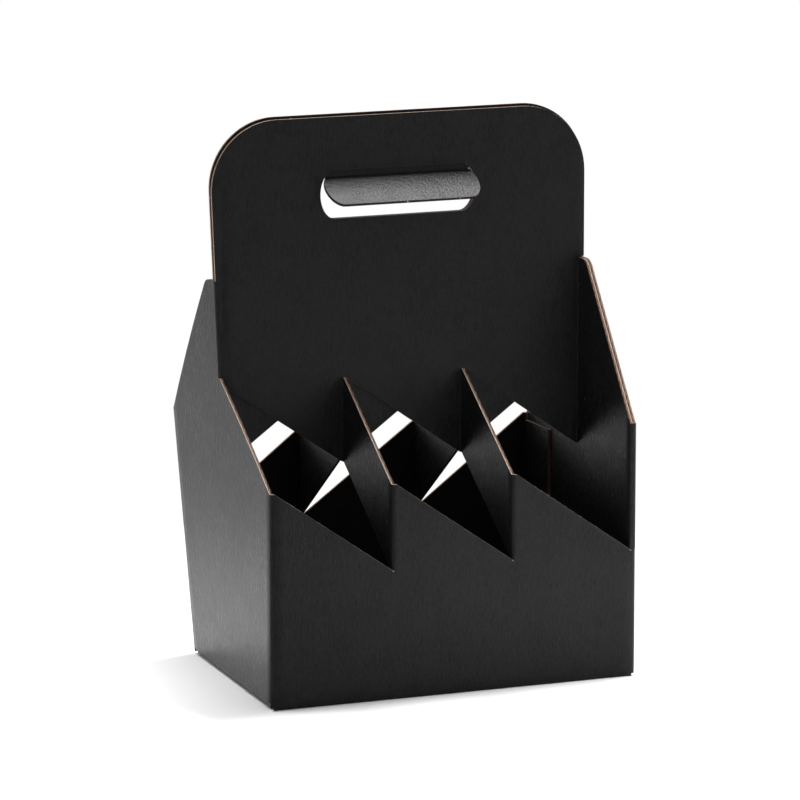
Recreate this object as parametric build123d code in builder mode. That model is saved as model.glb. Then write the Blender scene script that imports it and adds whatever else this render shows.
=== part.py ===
from build123d import *
import os

# Six-bottle carrier: one die-cut sheet of thin corrugated board, folded and glued.
# Millimetres, +Z up. X runs along the carrier, the front is at -Y, and the origin is
# in the middle of the base. The back half is the front half turned half way round Z, with
# its sloping edges cut a little higher. The left end stands a little twisted, as folded.

# Board and folds
board = 1.6                # thickness of the board
fold_inside = 0.5          # inside radius of a crease fold
layer_gap = 0.2            # air between two layers folded flat on each other
ply_gap = 0.4              # air between the two handle plies

# Bottle cells
cells = 3                  # cells along each side
cell_length = 66.0         # pitch of the cells along the carrier
cell_depth = 66.0          # from a long panel's face to its handle ply's face

# Heights of the sloping edges
low_edge = 67.0            # where a long panel's sloping edge ends
edge_drop = 44.0           # how far each sloping edge drops across one cell
back_low_edge = 68.5       # the same two sizes on the back half, which is cut a little higher
back_edge_drop = 46.5
end_slope_lift = 4.0       # an end panel's low slope ends this much above the ply's first slope
corner_height = 132.5      # top of the corner where a layer is folded back on itself
shoulder_height = 209.0    # where an end panel meets the handle
shoulder_reach = 10.0      # level part of the shoulder, before its corner is rounded
shoulder_radius = 8.0

# Handle
handle_height = 289.6
back_ply_lift = 1.2        # the back ply's top edge stands this much higher than the front's
handle_corner = 35.0       # radius of the handle's top corners
handle_inset = 0.3         # the handle's edges stand this far inside the end panels
handle_step = 0.6          # the handle widens this far above the shoulder
hole_length = 86.0
hole_shift = -4.0          # the hole's centre, from the middle of the handle
hole_height = 25.2
hole_end = 8.2             # how far each oval end reaches along the handle
hole_middle = 249.8        # height of the hole's centre
crease_height = 259.0      # crease of the tab that the back ply keeps in its hole
tab_clearance = 0.9        # the tab is cut this much inside the hole
tab_lean = 54.0            # degrees from hanging straight down, towards the front

# Glue seam and bottom
glue_width = 32.0          # glue flap inside the right end panel
glue_foot = 5.0            # height of the glue flap's lower edge
hook_reach = 14.0          # how far a bottom flap hooks past the middle line
hook_gap = 0.6             # gap along the hooked line
hook_middle = 20.0         # where the hooked line crosses the middle line
end_flap = 56.0            # how far an end panel's bottom flap reaches in
end_flap_taper = 18.0      # how much narrower that flap is at each side of its free edge
flap_setback = 0.6         # a long bottom flap stands this far back from the end panels
end_flap_setback = 1.6     # an end flap stands this far back from the long panels

# Set of the left end: from square at its front corner, more and more towards its back corner
twist = 9.6                # how far the back corner stands inwards at the base
twist_level = 115.0        # height at which it is square, above which it stands outwards

# Sizes that follow from those above
fold_outside = fold_inside + board
fold_middle = fold_inside + board / 2
nose_outside = board + layer_gap / 2
nose_middle = (board + layer_gap) / 2
length = cells * cell_length + 2 * board + layer_gap
depth = 2 * (cell_depth + board) + ply_gap
left, right = -length / 2, length / 2
front, back = -depth / 2, depth / 2
ply_front = -ply_gap / 2 - board
ply_back = -ply_gap / 2
end_foot = board + fold_outside
divider_x = [left + n * cell_length for n in range(cells + 1)]
twist_start = front + fold_outside


def slopes(seam):
    """Where a half's panel slopes end and start, and where its handle ply's slopes start."""
    low, drop = (back_low_edge, back_edge_drop) if seam else (low_edge, edge_drop)
    return low, low + drop, low + 2 * drop


def end_set(seam, y, z):
    """How far the carrier's left end stands to the right of square, in a half's own frame."""
    half_turn = -1 if seam else 1
    inward = twist * (half_turn * y - twist_start) / (back - twist_start) * (1 - z / twist_level)
    return half_turn * inward


def left_set(seam, y, z):
    """The set of a half's own left end. The half with the seam has a square one."""
    return 0 if seam else end_set(seam, y, z)


def right_set(seam, y, z):
    """The set of a half's own right end. Only the half with the seam has one."""
    return end_set(seam, y, z) if seam else 0


def nearest(vertices, corners):
    """The vertices that lie at the given (x, y) corners of a sketch."""
    return [min(vertices, key=lambda v: (v.X - x) ** 2 + (v.Y - y) ** 2) for x, y in corners]


def plate_along_x(near_face, points, corners=(), radius=0):
    """A flat panel parallel to the front, from an outline of (x, z) points."""
    with BuildSketch(Plane.XZ.offset(-near_face - board)) as panel:
        with BuildLine():
            Polyline(*points, close=True)
        make_face()
        if corners:
            fillet(nearest(panel.sketch_local.vertices(), corners), radius)
    extrude(panel.sketch, amount=board)


def plate_along_y(left_face, points, corners=(), radius=0):
    """A flat panel parallel to the ends, from an outline of (y, z) points."""
    with BuildSketch(Plane.YZ.offset(left_face)) as panel:
        with BuildLine():
            Polyline(*points, close=True)
        make_face()
        if corners:
            fillet(nearest(panel.sketch_local.vertices(), corners), radius)
    extrude(panel.sketch, amount=board)


def twisted_plate(seam, left_face, points, corners, radius):
    """A panel of the carrier's left end: a sheet ruled between two slanting strips, cut to outline."""
    low, high = points[0][1], max(z for y, z in points)
    with BuildPart() as plate:
        for y in (front, back):
            at_low, at_high = left_face + end_set(seam, y, low), left_face + end_set(seam, y, high)
            with BuildSketch(Plane.XZ.offset(-y)):
                with BuildLine():
                    Polyline(
                        (at_low, low), (at_low + board, low), (at_high + board, high),
                        (at_high, high), close=True)
                make_face()
        loft(ruled=True)
        with BuildSketch(Plane.YZ.offset(left_face - depth / 2)) as panel:
            with BuildLine():
                Polyline(*points, close=True)
            make_face()
            fillet(nearest(panel.sketch_local.vertices(), corners), radius)
        extrude(amount=depth, mode=Mode.INTERSECT)
    return plate.part


def bend(centre, radius, first_angle, turn, foot, top, shift):
    """An upright bend between two heights, shifted along X by so much at its foot and its top."""
    x, y = centre
    with BuildSketch(Plane.XY.offset(foot)) as section:
        with BuildLine():
            CenterArc((x + shift[0], y), radius, first_angle, turn)
        trace(line_width=board)
    rise = Vector(shift[1] - shift[0], 0, top - foot)
    extrude(section.sketch, amount=rise.length, dir=rise)


def fold(centre, first_angle, foot, top, shift=(0, 0)):
    """A quarter-turn fold."""
    bend(centre, fold_middle, first_angle, 90, foot, top, shift)


def long_panel(seam):
    """The long panel: one sloping edge for each cell, with a step at each divider.

    Its first fold is the left corner's, or the glue flap's, which stands on a foot of its own.
    """
    low, high, _ = slopes(seam)
    start = left + board if seam else left
    foot = glue_foot if seam else board
    corner = front + fold_outside

    def end_shift(z):
        return right_set(seam, corner, z)

    end = right - fold_outside
    outline = [(start + fold_outside, fold_outside)]
    outline += [(end + end_shift(fold_outside), fold_outside), (end + end_shift(low), low)]
    for here, after in reversed(list(zip(divider_x, divider_x[1:]))):
        last_shift = end_shift(low) if after == divider_x[-1] else 0
        outline += [(after + last_shift, low), (max(here, start) + fold_outside, high)]
        if here > left:
            outline += [(here + fold_outside, low)]
    plate_along_x(front, outline)
    fold((start + fold_outside, corner), 180, foot, high)
    fold((end, corner), 270, board, low, (end_shift(board), end_shift(low)))


def handle_ply(seam):
    """One handle ply: stepped sloping edges below, rounded corners above."""
    _, low, high = slopes(seam)
    top = handle_height + back_ply_lift if seam else handle_height
    widen = shoulder_height + handle_step
    joint = ply_front + fold_outside
    edge = right - handle_inset

    def start(x, z):
        return x + left_set(seam, joint, z), z

    def end(x, z):
        return x + right_set(seam, ply_back - fold_outside, z), z

    last = divider_x[-1] + board
    outline = [start(left + fold_outside, high)]
    for after in divider_x[1:-1]:
        outline += [(after + board - fold_outside, low)]
        outline += [(after + board - fold_outside, high), (after + board, high)]
    outline += [end(last - fold_outside, low)]
    outline += [end(last - fold_outside, shoulder_height), end(last, shoulder_height)]
    outline += [end(last, widen), end(edge, widen), end(edge, top), start(-edge, top)]
    outline += [start(-edge, shoulder_height), start(left + fold_outside, shoulder_height)]
    corners = [end(edge, top), start(-edge, top)]
    plate_along_x(ply_front, outline, corners, handle_corner)
    shift = (left_set(seam, joint, high), left_set(seam, joint, shoulder_height))
    fold((left + fold_outside, joint), 180, high, shoulder_height, shift)


def divider(x, seam):
    """A slanted strip between two cells, folded onto the long panel and onto the ply."""
    low, middle, high = slopes(seam)
    near, far = front + fold_outside, ply_back - fold_outside
    outline = [(near, low), (far, middle), (far, high), (near, middle)]
    plate_along_y(x, outline)
    fold((x + fold_outside, near), 180, low, middle)
    fold((x + board - fold_outside, far), 0, middle, high)


def lining(seam):
    """The last strip: it lines the end panel's high slope. Its place, outline and round corner."""
    low, middle, _ = slopes(seam)
    near, far = front + nose_outside, ply_back - fold_outside
    shoulder = (-shoulder_reach, shoulder_height)
    outline = [(near, low), (far, middle), (far, shoulder_height), shoulder, (near, corner_height)]
    return divider_x[-1], outline, [shoulder], shoulder_radius


def lining_folds(seam):
    """The last strip's fold onto the ply, and the corner where it is folded back on itself."""
    low, middle, _ = slopes(seam)
    x = divider_x[-1]
    near, far = front + nose_outside, ply_back - fold_outside
    shift = (right_set(seam, far, middle), right_set(seam, far, shoulder_height))
    fold((x + board - fold_outside, far), 0, middle, shoulder_height, shift)
    shift = (right_set(seam, near, low), right_set(seam, near, corner_height))
    bend((x + nose_outside, near), nose_middle, 180, 180, low, corner_height, shift)


def end_panel(seam):
    """The left end panel: low slope in front of the handle, high slope behind it."""
    _, middle, high = slopes(seam)
    step, _, _ = slopes(not seam)
    near = front if seam else front + fold_outside
    joint = ply_front + fold_outside
    shoulder = (shoulder_reach, shoulder_height)
    slope_top = high + end_slope_lift
    outline = [(near, end_foot), (near, middle), (ply_front, slope_top)]
    outline += [(joint, slope_top), (joint, shoulder_height), shoulder]
    outline += [(back - nose_outside, corner_height), (back - nose_outside, step)]
    outline += [(back - fold_outside, step), (back - fold_outside, end_foot)]
    return left, outline, [shoulder], shoulder_radius


def glue_flap():
    """The flap at the end of the sheet, glued inside the end panel."""
    near, far, top = front + fold_outside, front + glue_width, low_edge + edge_drop
    outline = [(near, glue_foot), (far, glue_foot), (far, top), (near, top)]
    plate_along_y(left + board, outline)


def long_bottom_flap(seam):
    """Half of the bottom, hinged on the long panel, with a hooked free edge."""
    near = front + fold_outside
    low, high = -hook_reach - hook_gap / 2, hook_reach - hook_gap / 2
    crossing = (-hook_middle if seam else hook_middle) + hook_gap / 2

    def start(y):
        return left + fold_outside + left_set(seam, y, 0)

    def end(y):
        return right - fold_outside + right_set(seam, y, 0)

    with BuildSketch(Plane.YZ.offset(start(near))) as section:
        with BuildLine():
            CenterArc((near, fold_outside), fold_middle, 180, 90)
        trace(line_width=board)
    extrude(section.sketch, amount=end(near) - start(near))
    side = flap_setback
    with BuildSketch(Plane.XY) as flap:
        with BuildLine():
            Polyline(
                (start(near), near), (end(near), near), (end(near + side) - side, near + side),
                (end(high) - side, high), (crossing + hook_reach, high),
                (crossing - hook_reach, low),
                (start(low) + side, low), (start(near + side) + side, near + side), close=True)
        make_face()
    extrude(flap.sketch, amount=board)


def end_bottom_flap(seam):
    """The end panel's bottom flap, glued on top of the two long ones."""
    near, far = front + fold_outside + end_flap_setback, back - fold_outside - end_flap_setback
    start = left + fold_outside
    near_shift, far_shift = left_set(seam, near, end_foot), left_set(seam, far, end_foot)
    with BuildSketch(Plane.XZ.offset(-near)) as section:
        with BuildLine():
            CenterArc((start + near_shift, end_foot), fold_middle, 180, 90)
        trace(line_width=board)
    run = Vector(far_shift - near_shift, far - near, 0)
    extrude(section.sketch, amount=run.length, dir=run)
    with BuildSketch(Plane.XY.offset(board)) as flap:
        with BuildLine():
            Polyline(
                (start + near_shift, near), (left + end_flap, near + end_flap_taper),
                (left + end_flap, far - end_flap_taper), (start + far_shift, far), close=True)
        make_face()
    extrude(flap.sketch, amount=board)


def hole_outline(inset=0):
    """The hand hole: a long slot with oval ends, drawn about the sketch's own centre."""
    flat = hole_length / 2 - hole_end
    Rectangle(2 * flat, hole_height - 2 * inset)
    with Locations((-flat, 0), (flat, 0)):
        Ellipse(hole_end - inset, hole_height / 2 - inset)


def half(seam):
    """One half of the carrier. The half with the seam ends in the glue flap."""
    plates = [end_panel(seam), lining(seam)]
    twisted, square = reversed(plates) if seam else plates
    left_end_plate = twisted_plate(seam, *twisted)
    with BuildPart() as side:
        add(left_end_plate)
        plate_along_y(*square)
        long_panel(seam)
        handle_ply(seam)
        for x in divider_x[1:-1]:
            divider(x, seam)
        lining_folds(seam)
        long_bottom_flap(seam)
        end_bottom_flap(seam)
        if seam:
            glue_flap()
        with BuildSketch(Plane.XZ.offset(-ply_back)):
            with Locations((-hole_shift if seam else hole_shift, hole_middle)):
                hole_outline()
            if seam:
                with Locations((0, crease_height)):
                    Rectangle(length, hole_height, align=(Align.CENTER, Align.MAX), mode=Mode.INTERSECT)
        extrude(amount=board, mode=Mode.SUBTRACT)
    return side.part


front_half = half(seam=False)
back_half = half(seam=True).rotate(Axis.Z, 180)

# The tab left in the back ply's hole leans forward through the front ply's hole
crease_line = Plane(
    origin=(hole_shift, ply_gap / 2, crease_height),
    x_dir=(1, 0, 0),
    z_dir=Vector(0, -1, 0).rotate(Axis.X, -tab_lean))

with BuildPart() as carrier:
    add(front_half)
    add(back_half)
    with BuildSketch(crease_line) as tab_face:
        with Locations((0, hole_middle - crease_height)):
            hole_outline(tab_clearance)
        Rectangle(length, hole_height, align=(Align.CENTER, Align.MAX), mode=Mode.INTERSECT)
    extrude(amount=-board)
    crease = tab_face.sketch_local.edges().filter_by(Axis.X).sort_by(Axis.Y)[-1].length
    with BuildSketch(Plane.XY.offset(crease_height)):
        with Locations((hole_shift, ply_gap / 2)):
            Rectangle(crease, board, align=(Align.CENTER, Align.MIN))
    revolve(axis=Axis((hole_shift, ply_gap / 2, crease_height), (-1, 0, 0)), revolution_arc=tab_lean)

carrier.part.label = "carrier"
size = carrier.part.bounding_box().size
print(f"length {size.X:.1f}, depth {size.Y:.1f}, height {size.Z:.1f}")
print(f"solids {len(carrier.part.solids())}, volume {carrier.part.volume / 1000:.1f} cm3")

os.makedirs("parts", exist_ok=True)
export_step(carrier.part, "parts/carrier.step")
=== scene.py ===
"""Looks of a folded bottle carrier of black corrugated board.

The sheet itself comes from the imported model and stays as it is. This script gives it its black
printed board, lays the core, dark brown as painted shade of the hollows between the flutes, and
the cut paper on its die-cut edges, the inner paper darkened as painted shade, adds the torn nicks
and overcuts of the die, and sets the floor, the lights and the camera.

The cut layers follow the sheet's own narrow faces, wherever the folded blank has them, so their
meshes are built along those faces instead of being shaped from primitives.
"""

import math

import bmesh
import bpy
from bpy.props import FloatProperty, FloatVectorProperty, PointerProperty
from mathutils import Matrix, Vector, geometry, noise


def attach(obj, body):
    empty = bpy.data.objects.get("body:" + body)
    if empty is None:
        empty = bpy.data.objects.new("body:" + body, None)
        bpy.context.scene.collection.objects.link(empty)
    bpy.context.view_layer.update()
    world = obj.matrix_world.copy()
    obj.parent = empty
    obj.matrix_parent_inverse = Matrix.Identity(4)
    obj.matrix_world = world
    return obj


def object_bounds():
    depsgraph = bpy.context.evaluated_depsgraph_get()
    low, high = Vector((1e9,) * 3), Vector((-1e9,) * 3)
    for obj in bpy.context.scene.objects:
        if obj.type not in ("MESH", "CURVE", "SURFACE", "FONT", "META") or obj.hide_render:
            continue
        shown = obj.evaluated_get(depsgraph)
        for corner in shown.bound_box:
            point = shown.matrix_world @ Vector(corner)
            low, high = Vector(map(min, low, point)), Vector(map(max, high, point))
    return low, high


bl_info = {
    "name": "Bottle Carrier Looks",
    "version": (1, 0, 0),
    "blender": (4, 5, 0),
    "location": "View3D > Sidebar > Carrier",
    "description": "Board, cut edges and stage for a folded bottle carrier",
    "category": "Object",
}

MM = 0.001
SHEET = "carrier"
BODY = "root"

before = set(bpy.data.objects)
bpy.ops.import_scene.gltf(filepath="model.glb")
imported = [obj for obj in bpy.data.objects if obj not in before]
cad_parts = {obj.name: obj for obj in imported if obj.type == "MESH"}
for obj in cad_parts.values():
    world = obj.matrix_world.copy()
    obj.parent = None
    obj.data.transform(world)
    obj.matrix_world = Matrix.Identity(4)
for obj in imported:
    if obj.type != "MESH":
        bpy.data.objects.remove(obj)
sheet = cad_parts[SHEET]
lowest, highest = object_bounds()

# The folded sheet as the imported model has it. X and Y are measured from the middle, both ways.
BOARD = 1.6 * MM
END_FACE = highest[0]            # outer face of the end panels
LONG_FACE = highest[1]           # outer face of the long panels
END_INSIDE = 99.4 * MM           # a face nearer the middle than this is inside the carrier
LONG_INSIDE = 66.8 * MM
END_PANEL = 96 * MM              # what stands further out than this belongs to an end panel
LONG_PANEL = 65 * MM             # and than this, to a long panel
GLUE_EDGE = 36 * MM              # upright edge of the glue flap
GLUE_FLAP = 97 * MM              # which stands further out than this
BOTTOM_TOP = 5 * MM              # the glued bottom flaps lie below this height
CELLS_TOP = 150 * MM             # the cells' walls lie below this height
SHOULDER = 209.1 * MM            # the handle's own side edges start above this height
HANDLE_SIDE = 66 * MM            # and stand further out than this
HOLE_LOW, HOLE_HIGH = 236.0 * MM, 264.0 * MM
HOLE_MIDDLE = -4.0 * MM
HOLE_REACH = 43.8 * MM
TAB_LEAN = math.radians(54.0)
TAB_NORMAL = Vector((0.0, -math.cos(TAB_LEAN), math.sin(TAB_LEAN)))

# How a cut face is known
EVEN = 0.08 * MM                 # how far a cut edge's width may differ from the board's
CROSSWISE = 0.1                  # the most that a cut face turns towards the printed faces
SLANTED = 0.12                   # the least that a slanted cut face turns up or down
UPWARD = 0.2                     # the same, for a face that plainly looks up or down
ALONG_AXIS = 0.9                 # a direction that is this far along an axis runs along it

# How the cut layers sit on the board
SUNK = 0.05 * MM                 # how deep they reach into it
CORE_HEIGHT = 0.02 * MM          # how far the core's shade stands above it
FLUTE_STEP = 0.45 * MM           # from one point of a flute's line to the next

# Where the die left the sheet held in its frame, in millimetres
NICKS = ((-63, -1, 290), (-104, -1, 252), (101, -1, 258), (-6, -1, 237), (24, -17, 249), (-5, -17, 249),
         (99, 36, 118), (99, 36, 109), (99, 36, 100), (99, 36, 94))

# The stage, in metres
FLOOR_RADIUS = 1.6
FADE_START, FADE_END = 0.30, 0.60            # where the floor runs out into plain white
OVERHEAD_PLACE = (0.36, 0.10, 1.30)
OVERHEAD_AIM = (0.0, 0.0, 0.2)
OVERHEAD_SIZE = 0.32
FLOOR_LAMPS = (("floor_left", -0.38, 0.07, 0.52),        # name, X, Y and share of the power
               ("floor_front", 0.20, -0.38, 1.25))
FLOOR_LAMP_HEIGHT = 0.6
FLOOR_LAMP_SIZE = 0.30
FLOOR_LAMP_BEAM = 50.0                       # full angle in degrees
CAMERA_CENTRE = Vector((0.0, 0.0, 150.0 * MM))
AIM_LEFT = 2.2 * MM                          # how far the camera aims beside and below the centre
AIM_BELOW = 9.56 * MM


class BoardSettings(bpy.types.PropertyGroup):
    """Colours and sizes of the corrugated board."""

    ink: FloatVectorProperty(
        name="Black paper", description="Colour of the sheet's black faces",
        subtype="COLOR", size=3, default=(0.0095, 0.0096, 0.0099), min=0, max=1)
    outer_paper: FloatVectorProperty(
        name="Outer paper", description="Colour of the outer paper layer where it is cut",
        subtype="COLOR", size=3, default=(0.54, 0.44, 0.375), min=0, max=1)
    # Painted shade: the inner paper's kraft brown is darkened, as the shaded side of each cut edge.
    inner_paper_and_shade: FloatVectorProperty(
        name="Inner paper", description="Colour of the inner paper layer where it is cut and crushed",
        subtype="COLOR", size=3, default=(0.065, 0.033, 0.021), min=0, max=1)
    fluted_paper: FloatVectorProperty(
        name="Fluted paper", description="Colour of the wavy paper where it is cut",
        subtype="COLOR", size=3, default=(0.32, 0.225, 0.17), min=0, max=1)
    # Painted shade: the core's kraft brown is darkened to stand for the shade in the hollows between the
    # flutes.
    core: FloatVectorProperty(
        name="Core", description="Colour inside the hollow core",
        subtype="COLOR", size=3, default=(0.075, 0.040, 0.025), min=0, max=1)
    flute_pitch: FloatProperty(
        name="Flute pitch", description="Height from one flute of the core to the next",
        subtype="DISTANCE", unit="LENGTH", default=3.5 * MM, min=1 * MM)
    liner: FloatProperty(
        name="Outer layer", description="Thickness of the outer paper layer",
        subtype="DISTANCE", unit="LENGTH", default=0.34 * MM, min=0.05 * MM)
    # Thickness of the inner paper layer, which is drawn dark as painted shade.
    crushed: FloatProperty(
        name="Inner layer", description="Thickness of the crushed inner paper layer",
        subtype="DISTANCE", unit="LENGTH", default=0.38 * MM, min=0.05 * MM)
    medium: FloatProperty(
        name="Fluted layer", description="Thickness of the wavy paper between them",
        subtype="DISTANCE", unit="LENGTH", default=0.32 * MM, min=0.05 * MM)
    roll: FloatProperty(
        name="Corner roll", description="How far from an upright corner its soft rounding starts",
        subtype="DISTANCE", unit="LENGTH", default=7.0 * MM, min=0.1 * MM)
    proud: FloatProperty(
        name="Cut height", description="How far the cut paper stands above the board's edge",
        subtype="DISTANCE", unit="LENGTH", default=0.05 * MM, min=0.01 * MM)


class StageSettings(bpy.types.PropertyGroup):
    """Floor, lights and camera."""

    azimuth: FloatProperty(
        name="Azimuth", description="Camera's angle to the left of the carrier's front",
        subtype="ANGLE", unit="ROTATION", default=math.radians(22.82))
    elevation: FloatProperty(
        name="Elevation", description="Camera's angle above the horizon",
        subtype="ANGLE", unit="ROTATION", default=math.radians(10.41))
    distance: FloatProperty(
        name="Distance", description="From the camera to the carrier's middle",
        subtype="DISTANCE", unit="LENGTH", default=2.844, min=0.5)
    lens: FloatProperty(
        name="Lens", description="Focal length in millimetres",
        subtype="DISTANCE_CAMERA", unit="CAMERA", default=248.6, min=10)
    key_power: FloatProperty(
        name="Overhead light", description="Power of the soft light above",
        subtype="POWER", unit="POWER", default=16.0, min=0)
    floor_power: FloatProperty(
        name="Floor lights", description="Power that each light turned to the floor takes its share of",
        subtype="POWER", unit="POWER", default=2.5, min=0)
    room_light: FloatProperty(
        name="Room light", description="Strength of the even light from all round",
        subtype="FACTOR", default=0.55, min=0, max=2)


class Shader:
    """Builds one material's nodes, a line for each node."""

    def __init__(self, name):
        self.material = bpy.data.materials.new(name)
        self.material.use_nodes = True
        self.tree = self.material.node_tree
        self.surface = self.tree.nodes["Principled BSDF"]
        self.output = self.tree.nodes["Material Output"]
        self.place = self.add("ShaderNodeTexCoord").outputs["Object"]

    def add(self, kind, **settings):
        node = self.tree.nodes.new(kind)
        for name, value in settings.items():
            setattr(node, name, value)
        return node

    def join(self, source, socket):
        self.tree.links.new(source, socket)

    def give(self, value, socket):
        if isinstance(value, bpy.types.NodeSocket):
            self.join(value, socket)
        else:
            socket.default_value = value

    def math(self, operation, first, second=0.0, third=0.0):
        node = self.add("ShaderNodeMath", operation=operation)
        for value, socket in zip((first, second, third), node.inputs):
            self.give(value, socket)
        return node.outputs[0]

    def axes(self):
        node = self.add("ShaderNodeSeparateXYZ")
        self.join(self.place, node.inputs[0])
        return node.outputs

    def stretched(self, scale):
        node = self.add("ShaderNodeMapping")
        self.join(self.place, node.inputs["Vector"])
        node.inputs["Scale"].default_value = scale
        return node.outputs[0]

    def noise(self, scale, detail, roughness, place=None):
        node = self.add("ShaderNodeTexNoise")
        self.join(place or self.place, node.inputs["Vector"])
        node.inputs["Scale"].default_value = scale
        node.inputs["Detail"].default_value = detail
        node.inputs["Roughness"].default_value = roughness
        return node.outputs["Fac"]

    def spread(self, value, low, high, to_low, to_high):
        node = self.add("ShaderNodeMapRange")
        self.join(value, node.inputs["Value"])
        node.inputs["From Min"].default_value = low
        node.inputs["From Max"].default_value = high
        node.inputs["To Min"].default_value = to_low
        node.inputs["To Max"].default_value = to_high
        return node.outputs["Result"]

    def mix(self, factor, first, second):
        node = self.add("ShaderNodeMix", data_type="RGBA")
        self.give(factor, node.inputs["Factor"])
        self.give(first, node.inputs["A"])
        self.give(second, node.inputs["B"])
        return node.outputs["Result"]

    def raise_surface(self, height, distance, below=None):
        node = self.add("ShaderNodeBump")
        node.inputs["Strength"].default_value = 1.0
        node.inputs["Distance"].default_value = distance
        self.join(height, node.inputs["Height"])
        if below is not None:
            self.join(below, node.inputs["Normal"])
        return node.outputs["Normal"]


def colour(rgb, factor=1.0):
    """A colour socket's value, made lighter or darker by a factor."""
    return (*[min(channel * factor, 1.0) for channel in rgb], 1.0)


def crease_drop(shader, along, corner, reach):
    """How far the surface falls away near a corner, which is a given distance from the middle."""
    near = shader.math("SUBTRACT", shader.math("ABSOLUTE", along), corner - reach)
    near = shader.math("MINIMUM", shader.math("MAXIMUM", near, 0.0), reach)
    steepness = -0.2 / reach
    return shader.math("MULTIPLY", shader.math("MULTIPLY", near, near), steepness)


def board_material(settings):
    """Black printed paper: satin, with upright fibre streaks and the flutes showing faintly."""
    shader = Shader("black_board")
    x, y, z = shader.axes()

    # Fibres run upright, across the flutes
    streaks = shader.noise(1.0, 3.0, 0.65, shader.stretched((1300.0, 1300.0, 260.0)))
    fibres = shader.noise(1500.0, 2.0, 0.7)
    clouds = shader.noise(75.0, 4.0, 0.6)
    tone = shader.math("ADD", shader.spread(streaks, 0.35, 0.65, -0.7, 0.7),
                       shader.spread(clouds, 0.3, 0.7, -0.35, 0.35))
    tone = shader.math("ADD", tone, shader.spread(fibres, 0.35, 0.65, -0.4, 0.4))
    darkest, lightest = colour(settings.ink, 0.55), colour(settings.ink, 1.45)
    shader.join(shader.mix(shader.spread(tone, -1.0, 1.0, 0.0, 1.0), darkest, lightest),
                shader.surface.inputs["Base Color"])

    # The print is glossier along the fibres and in soft patches
    gloss = shader.math("ADD", shader.spread(streaks, 0.3, 0.7, 0.05, -0.05),
                        shader.spread(clouds, 0.3, 0.7, 0.33, 0.28))
    shader.join(gloss, shader.surface.inputs["Roughness"])
    shader.surface.inputs["IOR"].default_value = 1.32
    shader.surface.inputs["Specular Tint"].default_value = (0.21, 0.21, 0.217, 1.0)

    # The flutes press through, mostly on the faces inside the cells
    wave = shader.math("SINE", shader.math("MULTIPLY", z, 2 * math.pi / settings.flute_pitch))
    inside_ends = shader.math("LESS_THAN", shader.math("ABSOLUTE", x), END_INSIDE)
    inside_sides = shader.math("LESS_THAN", shader.math("ABSOLUTE", y), LONG_INSIDE)
    low_down = shader.math("LESS_THAN", z, CELLS_TOP)
    inside = shader.math("MULTIPLY", shader.math("MULTIPLY", inside_ends, inside_sides), low_down)
    pressed = shader.math("MULTIPLY", wave, shader.math("MULTIPLY_ADD", inside, 0.3, 0.08))
    washboard = shader.raise_surface(pressed, 0.014 * MM)

    # Each upright corner is rolled softly where the board was creased
    rolled = shader.math("ADD", crease_drop(shader, x, END_FACE, settings.roll),
                         crease_drop(shader, y, LONG_FACE, settings.roll))
    corners = shader.raise_surface(rolled, 1.0, washboard)

    grain = shader.noise(1.0, 3.0, 0.6, shader.stretched((700.0, 700.0, 300.0)))
    paper = shader.math("ADD", grain, shader.math("MULTIPLY", fibres, 0.35))
    shader.join(shader.raise_surface(paper, 0.21 * MM, corners), shader.surface.inputs["Normal"])
    return shader.material


def kraft_material(name, base, lightest, darkest, grain):
    """Brown paper: torn fibres, matt, mottled along the edge."""
    shader = Shader(name)
    blotches = shader.noise(420.0, 3.0, 0.6)
    fibres = shader.noise(grain, 2.0, 0.6)
    tone = shader.math("ADD", shader.spread(blotches, 0.3, 0.7, 0.0, 0.6),
                       shader.spread(fibres, 0.3, 0.7, 0.0, 0.4))
    shader.join(shader.mix(tone, colour(base, darkest), colour(base, lightest)),
                shader.surface.inputs["Base Color"])
    shader.surface.inputs["Roughness"].default_value = 0.9
    shader.surface.inputs["Specular IOR Level"].default_value = 0.2
    shader.join(shader.raise_surface(fibres, 0.03 * MM), shader.surface.inputs["Normal"])
    return shader.material


def finish_piece(piece, material):
    """Gives a new piece its material and its body."""
    piece.data.materials.append(material)
    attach(piece, BODY)


def deselect_all():
    """Leaves object mode with nothing selected."""
    if bpy.context.object and bpy.context.object.mode != "OBJECT":
        bpy.ops.object.mode_set(mode="OBJECT")
    bpy.ops.object.select_all(action="DESELECT")


def at_hand_hole(place, below=0.0, beside=0.0):
    """Whether a place lies at the hand hole or its tab, or a little below or beside it."""
    return (HOLE_LOW - below < place.z < HOLE_HIGH
            and abs(place.x - HOLE_MIDDLE) < HOLE_REACH + beside)


def crosses_sheet(normal, centre):
    """Whether a face that isn't an even band still belongs to a cut edge, as at a rounded corner."""
    if at_hand_hole(centre):
        return min(abs(normal.dot(TAB_NORMAL)), abs(normal.y)) < CROSSWISE
    if abs(normal.z) > SLANTED:
        return min(abs(normal.x), abs(normal.y)) < CROSSWISE and centre.z > BOTTOM_TOP
    return centre.z > SHOULDER and abs(centre.x) > HANDLE_SIDE and abs(normal.y) < CROSSWISE


def is_shaded_flap_edge(band):
    """Whether a cut edge is the glue flap's upright one, which gets no paper layers, so that only the core's
    painted shade shows there.
    """
    middle = band.middle()
    at_flap = middle.x > GLUE_FLAP and abs(middle.y - GLUE_EDGE) < MM
    return at_flap and abs(band.normal.y) > ALONG_AXIS


def is_blackened_edge(normal, centre):
    """Whether a cut face lies at the hand hole, where it is drawn dark, or faces down, where the dark is
    painted shade.
    """
    return at_hand_hole(centre, below=2 * MM, beside=MM) or normal.z < -UPWARD


def outward_side(band):
    """The sign of the side step that leads towards the outside of the carrier."""
    middle = band.middle()
    way = band.ways[0]
    if abs(way.y) > abs(way.x):
        return math.copysign(1.0, way.y * middle.y)
    outwards = middle.x if abs(middle.x) > END_PANEL else middle.y
    return math.copysign(1.0, way.x * outwards)


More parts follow.
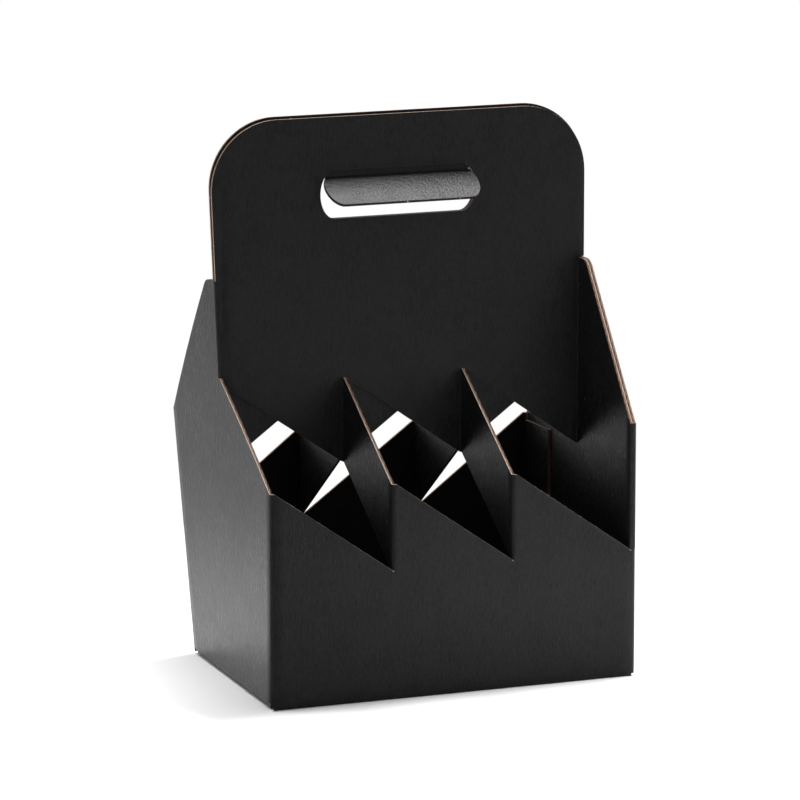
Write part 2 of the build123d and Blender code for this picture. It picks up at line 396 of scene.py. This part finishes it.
def without_straight(corners):
    """The corners of an outline, less those that lie on a straight side."""
    kept = list(corners)
    here = 0
    while here < len(kept) and len(kept) > 4:
        before, after = kept[here - 1], kept[(here + 1) % len(kept)]
        nearest, _ = geometry.intersect_point_line(kept[here], before, after)
        if (nearest - kept[here]).length < 0.02 * MM:
            del kept[here]
        else:
            here += 1
    return kept


def path_length(points):
    """The length of a path through points."""
    return sum((after - here).length for here, after in zip(points, points[1:]))


def nearest_on(points, place):
    """The point of a path that lies nearest to a place."""
    found = []
    for here, after in zip(points, points[1:]):
        spot, share = geometry.intersect_point_line(place, here, after)
        found.append(here if share < 0 else after if share > 1 else spot)
    return min(found, key=lambda spot: (spot - place).length)


class CutEdge:
    """One stretch of a cut edge: the line along its middle, and the way through the board."""

    def __init__(self, normal, first, second):
        self.normal = normal
        guide, other = sorted((first, second), key=path_length, reverse=True)
        facing = [nearest_on(other, place) for place in guide]
        start = facing[0] - guide[0]
        turn = 1 if max(start, key=abs) > 0 else -1
        self.middles = [(near + far) / 2 for near, far in zip(guide, facing)]
        self.ways = [(far - near).normalized() * turn for near, far in zip(guide, facing)]
        self.widths = [(far - near).length for near, far in zip(guide, facing)]
        self.runs = [path_length(self.middles[:n + 1]) for n in range(len(self.middles))]
        self.length = self.runs[-1]

    def is_even(self):
        return self.length > 0.2 * MM and all(abs(width - BOARD) < EVEN for width in self.widths)

    def is_blackened_edge(self):
        return is_blackened_edge(self.normal, self.middle())

    def point(self, run, side=0.0, height=0.0):
        """A point at a run along the edge, a side step across it and a height above it."""
        stop = len(self.runs) - 2
        here = max(n for n in range(stop + 1) if n == 0 or self.runs[n] <= run)
        gap = self.runs[here + 1] - self.runs[here]
        share = (run - self.runs[here]) / gap if gap > 0 else 0.0
        middle = self.middles[here].lerp(self.middles[here + 1], share)
        way = self.ways[here].lerp(self.ways[here + 1], share)
        return middle + way * side + self.normal * height

    def middle(self):
        """The point halfway along the edge."""
        return self.point(self.length / 2)

    def flute_phase(self, run, pitch):
        """Where a run lies in the flutes, which are level in all upright panels."""
        place = self.point(run)
        return 2 * math.pi * (place.z if abs(self.ways[0].z) < ALONG_AXIS else place.y) / pitch


def find_band(normal, corners):
    """The longest even band of the board's thickness that an outline makes, or None."""
    outline = without_straight(corners)
    count = len(outline)
    ends = [n for n in range(count)
            if abs((outline[(n + 1) % count] - outline[n]).length - BOARD) < 0.75 * EVEN]
    best = None
    for place, near in enumerate(ends):
        for far in ends[place + 1:]:
            first = outline[near + 1:far + 1]
            second = [outline[n % count] for n in range(far + 1, near + count + 1)][::-1]
            if min(len(first), len(second)) < 2:
                continue
            edge = CutEdge(normal, first, second)
            if edge.is_even() and (best is None or edge.length > best.length):
                best = edge
    return best


def cut_faces():
    """Every cut face of the sheet, read from a merged copy of its mesh, with its band if it is one."""
    merged = bmesh.new()
    merged.from_mesh(sheet.data)
    bmesh.ops.remove_doubles(merged, verts=merged.verts, dist=0.001 * MM)
    bmesh.ops.dissolve_limit(merged, angle_limit=math.radians(0.6),
                             verts=merged.verts, edges=merged.edges)
    found = []
    for face in merged.faces:
        corners = [vert.co.copy() for vert in face.verts]
        band = find_band(face.normal.copy(), corners)
        if band or crosses_sheet(face.normal, face.calc_center_median()):
            # The glue flap's upright edge keeps only the core, drawn dark as painted shade.
            layered_band = None if band and is_shaded_flap_edge(band) else band
            found.append((face.normal.copy(), corners, layered_band))
    merged.free()
    return found


def cut_bands():
    """Every stretch of cut edge that shows its layers."""
    return [band for _, _, band in cut_faces() if band]


def add_slab(mesh, corners, normal, below, above):
    """A thin closed slab over a flat outline."""
    low = [mesh.verts.new(corner - normal * below) for corner in corners]
    high = [mesh.verts.new(corner + normal * above) for corner in corners]
    mesh.faces.new(high)
    mesh.faces.new(reversed(low))
    for here in range(len(corners)):
        after = (here + 1) % len(corners)
        mesh.faces.new((low[here], low[after], high[after], high[here]))


def add_ribbon(mesh, edge, runs, sides, thickness, height):
    """A closed strip of cut paper that follows the given side steps along a cut edge."""
    rings = []
    for here, (run, side) in enumerate(zip(runs, sides)):
        before, after = max(here - 1, 0), min(here + 1, len(runs) - 1)
        slope = (sides[after] - sides[before]) / max(runs[after] - runs[before], 1e-9)
        half = thickness / 2 * math.hypot(1.0, slope)
        places = ((-half, -SUNK), (half, -SUNK), (half, height), (-half, height))
        rings.append([mesh.verts.new(edge.point(run, side + step, up)) for step, up in places])
    for first, second in zip(rings, rings[1:]):
        for corner in range(4):
            following = (corner + 1) % 4
            mesh.faces.new((first[corner], first[following], second[following], second[corner]))
    mesh.faces.new(rings[0][::-1])
    mesh.faces.new(rings[-1])


def add_layer(mesh, band, side, thickness, height):
    """A straight strip of cut paper along one side of a cut edge."""
    step = side * (BOARD - thickness) / 2
    add_ribbon(mesh, band, band.runs, [step] * len(band.runs), thickness, height)


def mesh_piece(name, mesh):
    """Makes a finished mesh an object with its faces pointing outwards."""
    bmesh.ops.recalc_face_normals(mesh, faces=mesh.faces)
    data = bpy.data.meshes.new(name)
    mesh.to_mesh(data)
    mesh.free()
    piece = bpy.data.objects.new(name, data)
    bpy.context.scene.collection.objects.link(piece)
    return piece


class CARRIER_OT_finish_board(bpy.types.Operator):
    """Give the folded sheet its black printed board"""

    bl_idname = "carrier.finish_board"
    bl_label = "Finish Board"

    def execute(self, context):
        material = board_material(context.scene.carrier_board)
        for slot in sheet.material_slots:
            slot.material = material
        return {"FINISHED"}


class CARRIER_OT_add_core(bpy.types.Operator):
    """Lay the hollow core, dark brown as painted shade, on every cut edge that is not blackened"""

    bl_idname = "carrier.add_core"
    bl_label = "Add Core"

    def execute(self, context):
        settings = context.scene.carrier_board
        mesh = bmesh.new()
        for normal, corners, _ in cut_faces():
            # The core slab's dark colour is painted shade of the flutes' hollows.
            if not is_blackened_edge(normal, sum(corners, Vector()) / len(corners)):
                add_slab(mesh, corners, normal, SUNK, CORE_HEIGHT)
        piece = mesh_piece("painted_core_shade", mesh)
        finish_piece(piece, kraft_material("core_shade", settings.core,
                                           lightest=1.7, darkest=0.6, grain=1800.0))
        return {"FINISHED"}


class CARRIER_OT_add_liners(bpy.types.Operator):
    """Add the two cut paper layers along every cut edge: light outer paper outside, and inside the inner
    paper, its brown darkened as painted shade
    """

    bl_idname = "carrier.add_liners"
    bl_label = "Add Paper Layers"

    def execute(self, context):
        settings = context.scene.carrier_board
        thin = settings.liner / 2
        outer, inner = bmesh.new(), bmesh.new()
        for band in cut_bands():
            out = outward_side(band)
            # Blackened edges get dark paper on both sides, as painted shade where the edge faces down.
            if band.is_blackened_edge():
                add_layer(inner, band, out, thin, settings.proud)
                add_layer(inner, band, -out, thin, settings.proud)
            else:
                # The inner side's dark paper is kraft brown darkened as painted shade.
                add_layer(outer, band, out, settings.liner, settings.proud)
                add_layer(inner, band, -out, settings.crushed, settings.proud)
        for name, mesh, paper in (("outer_paper", outer, settings.outer_paper),
                                  ("inner_paper_and_shade", inner, settings.inner_paper_and_shade)):
            piece = mesh_piece(name, mesh)
            finish_piece(piece, kraft_material("cut_" + name, paper,
                                               lightest=1.2, darkest=0.75, grain=1900.0))
        return {"FINISHED"}


class CARRIER_OT_add_flutes(bpy.types.Operator):
    """Add the wavy paper between the two layers along every cut edge that is not blackened"""

    bl_idname = "carrier.add_flutes"
    bl_label = "Add Flutes"

    def execute(self, context):
        settings = context.scene.carrier_board
        mesh = bmesh.new()
        for band in cut_bands():
            if not band.is_blackened_edge():
                add_flute(mesh, band, settings)
        piece = mesh_piece("fluted_paper", mesh)
        finish_piece(piece, kraft_material("cut_fluted_paper", settings.fluted_paper,
                                           lightest=1.25, darkest=0.7, grain=1900.0))
        return {"FINISHED"}


def add_flute(mesh, band, settings):
    """The wavy paper of one cut edge: a flattened wave, crushed a little more here and there."""
    reach = (BOARD - settings.liner - settings.crushed - settings.medium) / 2
    centre = outward_side(band) * (settings.crushed - settings.liner) / 2
    count = max(int(band.length / FLUTE_STEP), 1)
    runs = [band.length * n / count for n in range(count + 1)]
    sides = []
    for run in runs:
        crush = 0.25 * noise.noise(band.point(run) * 260.0)
        wave = 1.08 * math.sin(band.flute_phase(run, settings.flute_pitch))
        sides.append(centre + reach * max(-1.0, min(1.0, wave + crush)))
    add_ribbon(mesh, band, runs, sides, settings.medium, settings.proud * 0.9)


class CARRIER_OT_add_nicks(bpy.types.Operator):
    """Add the torn tufts where the sheet was held in its frame, and the die's overcuts"""

    bl_idname = "carrier.add_nicks"
    bl_label = "Add Nicks"

    def execute(self, context):
        settings = context.scene.carrier_board
        bands = cut_bands()
        mesh = bmesh.new()
        for number, place in enumerate(NICKS):
            band, run = nearest_run(bands, Vector(place) * MM)
            add_tuft(mesh, band, run, number)
        for band in bands:
            if is_saw_tooth(band):
                add_overcut(mesh, band)
        piece = mesh_piece("torn_nicks", mesh)
        finish_piece(piece, kraft_material("torn_fibres", settings.outer_paper,
                                           lightest=1.7, darkest=1.1, grain=2600.0))
        return {"FINISHED"}


def nearest_run(bands, place):
    """The cut edge that comes nearest to a place, and the run along it."""
    band = min(bands, key=lambda edge: (nearest_on(edge.middles, place) - place).length)
    spot = nearest_on(band.middles, place)
    steps = 400
    runs = [band.length * n / steps for n in range(steps + 1)]
    return band, min(runs, key=lambda run: (band.point(run) - spot).length)


def add_tuft(mesh, band, run, number):
    """A few short torn fibres that stand on a cut edge, each leaning its own way."""
    fibres = 4
    apart = 0.22 * MM           # from one fibre to the next along the edge
    rim = 0.25 * MM             # from the outer face to the first row
    row_gap = 0.3 * MM
    rows = 3
    half = 0.16 * MM            # half a fibre's width at its foot
    out = outward_side(band)
    along = (band.middles[-1] - band.middles[0]).normalized() * half
    across = band.ways[0] * half
    for fibre in range(fibres):
        lean = noise.noise(Vector((number * 3.7, fibre * 5.3, 0.5)))
        start = run + (fibre - (fibres - 1) / 2) * apart + lean * 0.2 * MM
        start = max(0.0, min(band.length, start))
        side = out * (BOARD / 2 - rim - row_gap * (fibre % rows))
        foot = band.point(start, side, -SUNK)
        tip = band.point(start, side + lean * 0.4 * MM, (0.22 + 0.12 * abs(lean)) * MM)
        ring = [mesh.verts.new(foot + along * step + across * turn)
                for step, turn in ((-1, -1), (1, -1), (1, 1), (-1, 1))]
        top = mesh.verts.new(tip)
        mesh.faces.new(ring[::-1])
        for here in range(4):
            mesh.faces.new((ring[here], ring[(here + 1) % 4], top))


def is_saw_tooth(band):
    """Whether a cut edge is a long slope of a long panel's saw-tooth edge."""
    return band.length > 20 * MM and abs(band.middle().y) > LONG_PANEL and band.normal.z > UPWARD


def add_overcut(mesh, band):
    """A short light scratch on the outer face, where the die ran past a slope's lower end."""
    length = 0.8 * MM
    wide, narrow = 0.22 * MM, 0.1 * MM          # at its start and at its tip
    low, before = band.middles[0], band.middles[1]
    if band.middles[-1].z < low.z:
        low, before = band.middles[-1], band.middles[-2]
    out = band.ways[0] * outward_side(band)
    start = low + out * BOARD / 2 - band.normal * 0.15 * MM
    tip = start + (low - before).normalized() * length
    corners = [start, tip, tip - band.normal * narrow, start - band.normal * wide]
    add_slab(mesh, corners, out, SUNK, 0.03 * MM)


class CARRIER_OT_set_stage(bpy.types.Operator):
    """Add the floor, the lights and the camera"""

    bl_idname = "carrier.set_stage"
    bl_label = "Set Stage"

    def execute(self, context):
        settings = context.scene.carrier_stage
        add_floor()
        add_lights(settings)
        add_room(settings)
        add_camera(settings)
        context.scene.view_settings.view_transform = "Standard"
        return {"FINISHED"}


def seen_directly(tree):
    """One for rays that show the background: straight, mirrored or through glass."""
    path = tree.nodes.new("ShaderNodeLightPath")
    total = path.outputs["Is Camera Ray"]
    for name in ("Is Glossy Ray", "Is Transmission Ray"):
        node = tree.nodes.new("ShaderNodeMath")
        node.operation = "ADD"
        node.use_clamp = True
        tree.links.new(total, node.inputs[0])
        tree.links.new(path.outputs[name], node.inputs[1])
        total = node.outputs[0]
    return total


def add_floor():
    """A plain pale floor that runs out into the white background."""
    deselect_all()
    bpy.ops.mesh.primitive_circle_add(vertices=96, radius=FLOOR_RADIUS, fill_type="NGON", location=(0, 0, 0))
    floor = bpy.context.object
    floor.name = "floor"
    shader = Shader("pale_floor")
    shader.surface.inputs["Base Color"].default_value = (0.94, 0.94, 0.94, 1.0)
    shader.surface.inputs["Roughness"].default_value = 0.85
    shader.surface.inputs["Specular IOR Level"].default_value = 0.1
    away = shader.add("ShaderNodeVectorMath", operation="LENGTH")
    shader.join(shader.place, away.inputs[0])
    fade = shader.spread(away.outputs["Value"], FADE_START, FADE_END, 0.0, 1.0)
    white = shader.add("ShaderNodeEmission")
    white.inputs["Strength"].default_value = 1.0
    blend = shader.add("ShaderNodeMixShader")
    shader.join(shader.math("MULTIPLY", fade, seen_directly(shader.tree)), blend.inputs["Fac"])
    shader.join(shader.surface.outputs[0], blend.inputs[1])
    shader.join(white.outputs[0], blend.inputs[2])
    shader.join(blend.outputs[0], shader.output.inputs["Surface"])
    floor.data.materials.append(shader.material)


def add_soft_light(name, place, aim, size, power, beam=180.0):
    """A square soft light that points at a place, with its beam's full angle in degrees."""
    deselect_all()
    bpy.ops.object.light_add(type="AREA", location=place)
    lamp = bpy.context.object
    lamp.name = name
    lamp.data.shape = "SQUARE"
    lamp.data.size = size
    lamp.data.energy = power
    lamp.data.spread = math.radians(beam)
    lamp.rotation_euler = (Vector(aim) - Vector(place)).to_track_quat("-Z", "Y").to_euler()


def add_lights(settings):
    """A soft light above, and two that shine straight down on the floor beside the carrier."""
    add_soft_light("overhead", OVERHEAD_PLACE, OVERHEAD_AIM, OVERHEAD_SIZE, settings.key_power)
    for name, x, y, share in FLOOR_LAMPS:
        add_soft_light(name, (x, y, FLOOR_LAMP_HEIGHT), (x, y, 0.0), FLOOR_LAMP_SIZE,
                       settings.floor_power * share, beam=FLOOR_LAMP_BEAM)


def add_room(settings):
    """A white background and an even, weaker light from all round."""
    world = bpy.context.scene.world or bpy.data.worlds.new("room")
    bpy.context.scene.world = world
    world.use_nodes = True
    tree = world.node_tree
    tree.nodes.clear()
    output = tree.nodes.new("ShaderNodeOutputWorld")
    even = tree.nodes.new("ShaderNodeBackground")
    even.inputs["Strength"].default_value = settings.room_light
    white = tree.nodes.new("ShaderNodeBackground")
    white.inputs["Strength"].default_value = 1.0
    for node in (even, white):
        node.inputs["Color"].default_value = (1.0, 1.0, 1.0, 1.0)
    blend = tree.nodes.new("ShaderNodeMixShader")
    tree.links.new(seen_directly(tree), blend.inputs["Fac"])
    tree.links.new(even.outputs[0], blend.inputs[1])
    tree.links.new(white.outputs[0], blend.inputs[2])
    tree.links.new(blend.outputs[0], output.inputs["Surface"])


def add_camera(settings):
    """The camera at the photograph's angle, turned so that the carrier sits where it does there."""
    azimuth, elevation = settings.azimuth, settings.elevation
    back = Vector((-math.sin(azimuth) * math.cos(elevation),
                   -math.cos(azimuth) * math.cos(elevation), math.sin(elevation)))
    right = Vector((math.cos(azimuth), -math.sin(azimuth), 0.0))
    up = back.cross(right)
    place = CAMERA_CENTRE + back * settings.distance
    aim = CAMERA_CENTRE - right * AIM_LEFT - up * AIM_BELOW
    deselect_all()
    bpy.ops.object.camera_add(location=place)
    camera = bpy.context.object
    camera.rotation_euler = (aim - place).to_track_quat("-Z", "Y").to_euler()
    camera.data.sensor_width = 36.0
    camera.data.lens = settings.lens
    camera.data.clip_start = 0.1
    camera.data.clip_end = 30.0
    bpy.context.scene.camera = camera


class CARRIER_PT_panel(bpy.types.Panel):
    """The carrier's steps in the sidebar."""

    bl_idname = "CARRIER_PT_panel"
    bl_label = "Carrier"
    bl_space_type = "VIEW_3D"
    bl_region_type = "UI"
    bl_category = "Carrier"

    def draw(self, context):
        for step in STEPS:
            self.layout.operator(step.bl_idname)


STEPS = (CARRIER_OT_finish_board, CARRIER_OT_add_core, CARRIER_OT_add_liners, CARRIER_OT_add_flutes,
         CARRIER_OT_add_nicks, CARRIER_OT_set_stage)
CLASSES = (BoardSettings, StageSettings, *STEPS, CARRIER_PT_panel)


def register():
    for cls in CLASSES:
        bpy.utils.register_class(cls)
    bpy.types.Scene.carrier_board = PointerProperty(type=BoardSettings)
    bpy.types.Scene.carrier_stage = PointerProperty(type=StageSettings)


def unregister():
    del bpy.types.Scene.carrier_board
    del bpy.types.Scene.carrier_stage
    for cls in reversed(CLASSES):
        bpy.utils.unregister_class(cls)


def main():
    register()
    bpy.ops.carrier.finish_board()
    bpy.ops.carrier.add_core()
    bpy.ops.carrier.add_liners()
    bpy.ops.carrier.add_flutes()
    bpy.ops.carrier.add_nicks()
    bpy.ops.carrier.set_stage()


if __name__ == "__main__":
    main()
